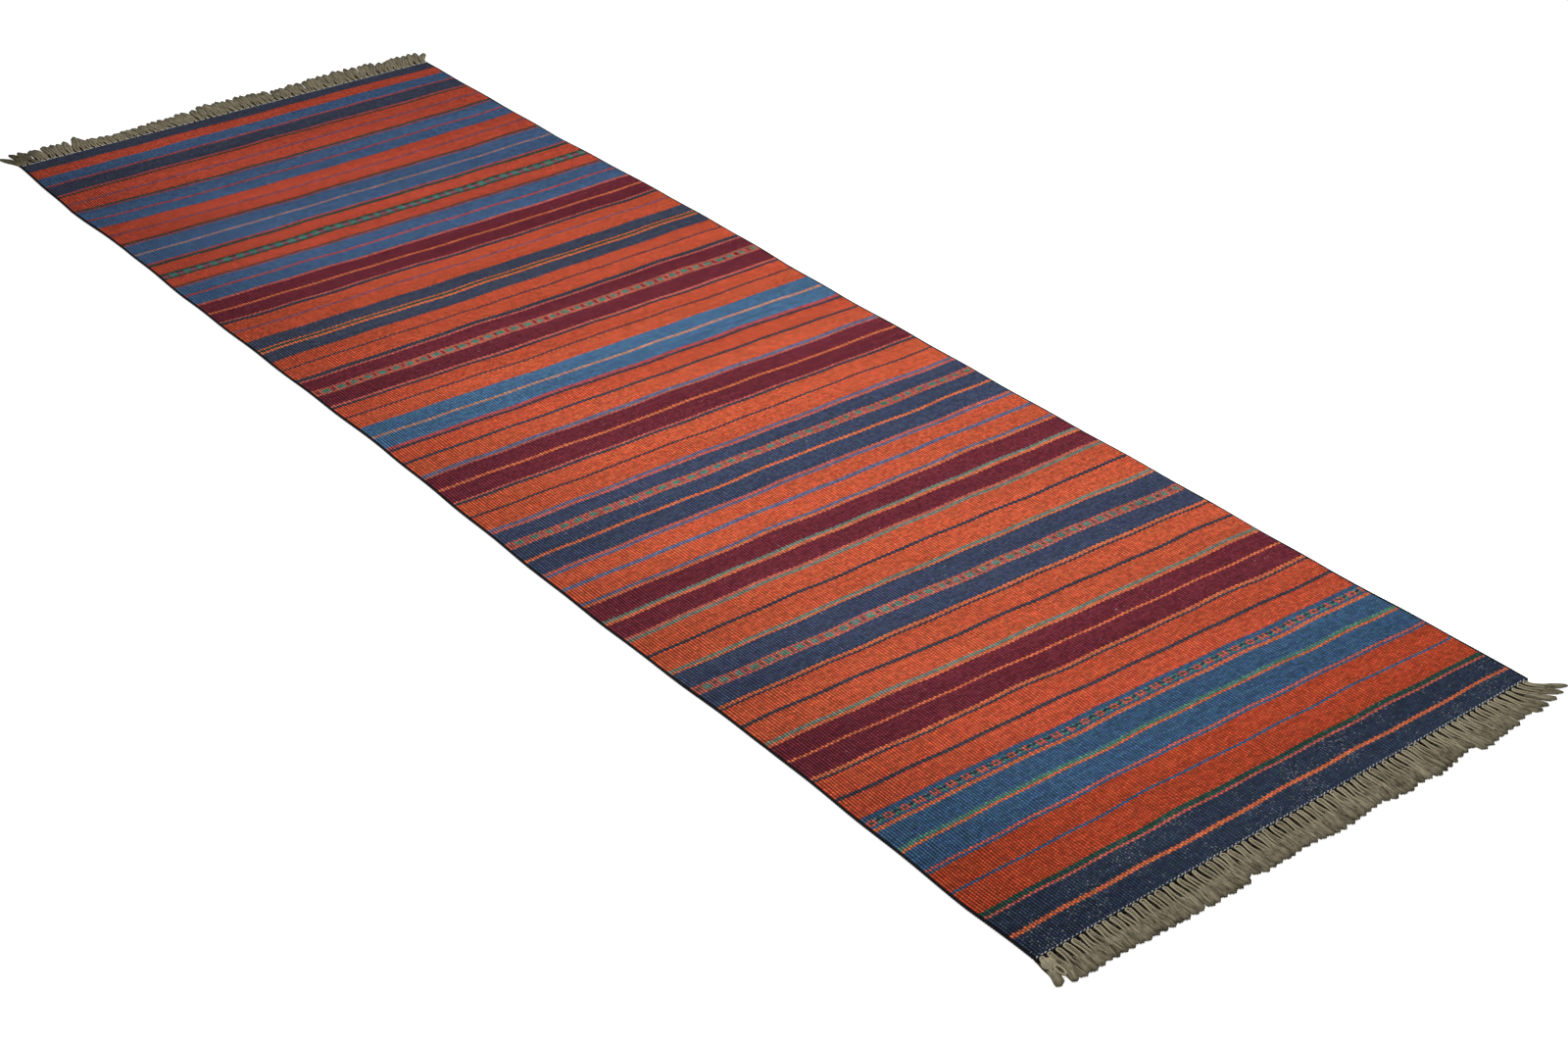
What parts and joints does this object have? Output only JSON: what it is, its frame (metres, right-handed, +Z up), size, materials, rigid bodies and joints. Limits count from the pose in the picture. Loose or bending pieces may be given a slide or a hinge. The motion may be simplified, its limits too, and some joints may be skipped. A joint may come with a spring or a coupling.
{
  "type": "runner rug",
  "caption": "Long flat-woven wool runner rug with crosswise stripes in rust, blue, navy and maroon, undyed warp fringe at both ends, folding in three for storage.",
  "frame": {"origin": "middle of the underside, at the centre of the bounding box, on the floor", "axes": "+X across the rug from the left selvedge to the right, +Y along it from the near end to the far end, +Z up out of the walking face"},
  "size_m": [0.834, 2.5652, 0.0056],
  "materials": {
    "wool_navy": "matte",
    "wool_slate": "matte",
    "wool_blue": "matte",
    "wool_rust": "matte",
    "wool_maroon": "matte",
    "wool_black": "matte",
    "wool_undyed": "matte"
  },
  "bodies": {
    "middle": {"band_10_rust": "wool_rust", "band_11_slate": "wool_slate", "band_12_rust": "wool_rust", "band_13_maroon": "wool_maroon", "band_14_rust": "wool_rust", "band_15_blue": "wool_blue", "band_16_rust": "wool_rust", "band_17_maroon": "wool_maroon", "band_18_rust": "wool_rust", "band_19_navy": "wool_navy", "selvedge_left_middle": "wool_black", "selvedge_right_middle": "wool_black"},
    "near_flap": {"band_01_navy": "wool_navy", "band_02_rust": "wool_rust", "band_03_blue": "wool_blue", "band_04_rust": "wool_rust", "band_05_maroon": "wool_maroon", "band_06_rust": "wool_rust", "band_07_slate": "wool_slate", "band_08_rust": "wool_rust", "band_09_maroon": "wool_maroon", "end_cord_near": "wool_black", "fringe_near_1": "wool_undyed", "fringe_near_2": "wool_undyed", "fringe_near_3": "wool_undyed", "fringe_near_4": "wool_undyed", "fringe_near_5": "wool_undyed", "fringe_near_6": "wool_undyed", "fringe_near_7": "wool_undyed", "fringe_near_8": "wool_undyed", "selvedge_left_near": "wool_black", "selvedge_right_near": "wool_black"},
    "far_flap": {"band_20_rust": "wool_rust", "band_21_maroon": "wool_maroon", "band_22_blue": "wool_blue", "band_23_rust": "wool_rust", "band_24_blue": "wool_blue", "band_25_rust": "wool_rust", "band_26_blue": "wool_blue", "band_27_rust": "wool_rust", "band_28_navy": "wool_navy", "band_29_blue": "wool_blue", "band_30_rust": "wool_rust", "band_31_navy": "wool_navy", "end_cord_far": "wool_black", "fringe_far_1": "wool_undyed", "fringe_far_2": "wool_undyed", "fringe_far_3": "wool_undyed", "fringe_far_4": "wool_undyed", "fringe_far_5": "wool_undyed", "fringe_far_6": "wool_undyed", "fringe_far_7": "wool_undyed", "fringe_far_8": "wool_undyed", "selvedge_left_far": "wool_black", "selvedge_right_far": "wool_black"}
  },
  "joints": [
    {"name": "near_fold", "type": "hinge", "parent": "middle", "child": "near_flap", "pos_m": [0, -0.4345, 0.0052], "axis": [-1, 0, 0], "range_deg": [0, 180]},
    {"name": "far_fold", "type": "hinge", "parent": "middle", "child": "far_flap", "pos_m": [0, 0.431, 0.0082], "axis": [1, 0, 0], "range_deg": [0, 180]}
  ]
}
